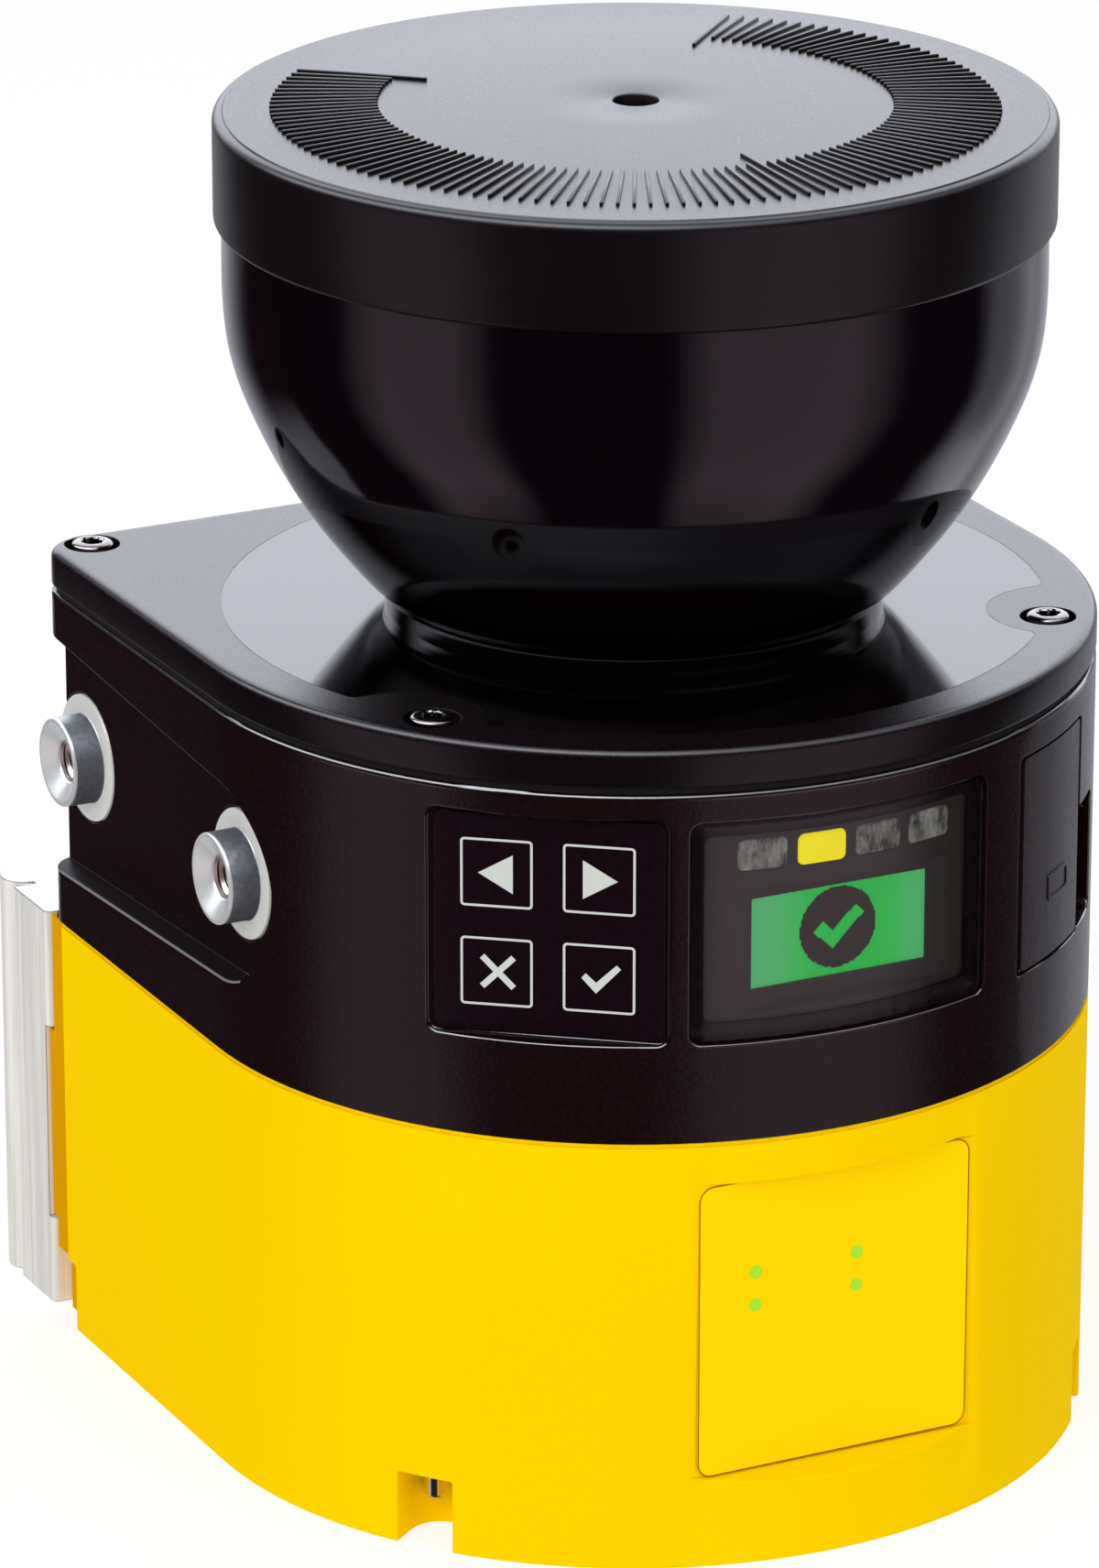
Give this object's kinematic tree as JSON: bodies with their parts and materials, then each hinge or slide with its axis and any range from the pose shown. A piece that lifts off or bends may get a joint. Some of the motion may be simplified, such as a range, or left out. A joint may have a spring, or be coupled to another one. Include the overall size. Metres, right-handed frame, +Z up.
{
  "type": "safety laser scanner",
  "caption": "Compact safety laser scanner with a bowl-shaped smoked optics cover, round display front, keypad, service flap, side mounting bushes and a rear plug block.",
  "frame": {"origin": "centre of the base, on the vertical axis that the scanning mirror turns about", "axes": "+Z up along the scan axis, -Y the way the display faces, +X to the right of a viewer who faces the display"},
  "size_m": [0.1116, 0.123, 0.1623],
  "materials": {
    "yellow_paint": "fine textured satin",
    "black_housing": "satin",
    "seal_rubber": "matt",
    "screw_steel": "satin",
    "pin_steel": "polished",
    "optics_plastic": "high gloss, dark, lets infra-red through",
    "lid_plastic": "satin",
    "bush_alu": "turned",
    "film": "printed film",
    "key_plastic": "plain",
    "circuit_board": "solder mask",
    "window": "smoked, clear",
    "carrier_plastic": "matt",
    "lens_plastic": "frosted",
    "screen": "backlit",
    "flap_plastic": "satin",
    "socket_metal": "plain",
    "label_film": "printed film",
    "light_guide": "lit",
    "plug_alu": "brushed",
    "contact_plastic": "plain",
    "connector_metal": "nickel plated",
    "bench_alu": "cast",
    "bearing_steel": "ground",
    "winding": "enamelled wire",
    "sensor_plastic": "plain",
    "receiver_plastic": "matt",
    "clear_lens": "clear",
    "laser_brass": "plain",
    "rotor_steel": "plain",
    "disc_metal": "etched",
    "head_plastic": "matt",
    "mirror_face": "front-silvered"
  },
  "bodies": {
    "housing": {"lower_housing": "yellow_paint", "upper_housing": "black_housing", "housing_seal": "seal_rubber", "housing_screws": "screw_steel", "locating_pins": "pin_steel", "optics_cover": "optics_plastic", "cover_seal": "seal_rubber", "cover_screws": "screw_steel", "optics_lid": "lid_plastic", "left_bushes": "bush_alu", "right_bushes": "bush_alu", "keypad_film": "film", "key_board": "circuit_board", "display_window": "window", "display_carrier": "carrier_plastic", "indicator_lenses": "lens_plastic", "display_screen": "screen", "display_board": "circuit_board", "usb_hinge_pin": "screw_steel", "usb_socket": "socket_metal", "status_label": "label_film", "status_light_guides": "light_guide", "system_plug": "plug_alu", "plug_seal": "seal_rubber", "plug_screws": "screw_steel", "plug_header": "contact_plastic", "board_receptacle": "contact_plastic", "power_connector": "connector_metal", "network_connectors": "connector_metal", "interface_board": "circuit_board", "main_board": "circuit_board", "board_standoffs": "screw_steel", "optical_bench": "bench_alu", "bench_screws": "screw_steel", "upper_bearing": "bearing_steel", "lower_bearing": "bearing_steel", "motor_stator": "winding", "encoder_sensor": "sensor_plastic", "receiver_module": "receiver_plastic", "receiver_lens": "clear_lens", "laser_tube": "laser_brass"},
    "scan_rotor": {"rotor_shaft": "rotor_steel", "motor_rotor": "rotor_steel", "encoder_disc": "disc_metal", "scan_head": "head_plastic", "scan_mirror": "mirror_face"},
    "usb_flap": {"usb_cover": "flap_plastic"},
    "left_key": {"left_key": "key_plastic"},
    "right_key": {"right_key": "key_plastic"},
    "back_key": {"back_key": "key_plastic"},
    "confirm_key": {"confirm_key": "key_plastic"}
  },
  "joints": [
    {"name": "scan_spin", "type": "hinge", "parent": "housing", "child": "scan_rotor", "pos_m": [0, 0, 0.1], "axis": [0, 0, 1], "continuous": true},
    {"name": "usb_cover_swing", "type": "hinge", "parent": "housing", "child": "usb_flap", "pos_m": [0.02647, -0.04692, 0.07875], "axis": [0, 0, 1], "range_deg": [-100, 0]},
    {"name": "left_key_press", "type": "slide", "parent": "housing", "child": "left_key", "axis": [0.6129, 0.7902, 0], "range_m": [0, 0.0003], "stiffness_N_per_m": 2000, "springref_m": -0.0003},
    {"name": "right_key_press", "type": "slide", "parent": "housing", "child": "right_key", "axis": [0.6129, 0.7902, 0], "range_m": [0, 0.0003], "stiffness_N_per_m": 2000, "springref_m": -0.0003},
    {"name": "back_key_press", "type": "slide", "parent": "housing", "child": "back_key", "axis": [0.6129, 0.7902, 0], "range_m": [0, 0.0003], "stiffness_N_per_m": 2000, "springref_m": -0.0003},
    {"name": "confirm_key_press", "type": "slide", "parent": "housing", "child": "confirm_key", "axis": [0.6129, 0.7902, 0], "range_m": [0, 0.0003], "stiffness_N_per_m": 2000, "springref_m": -0.0003}
  ]
}
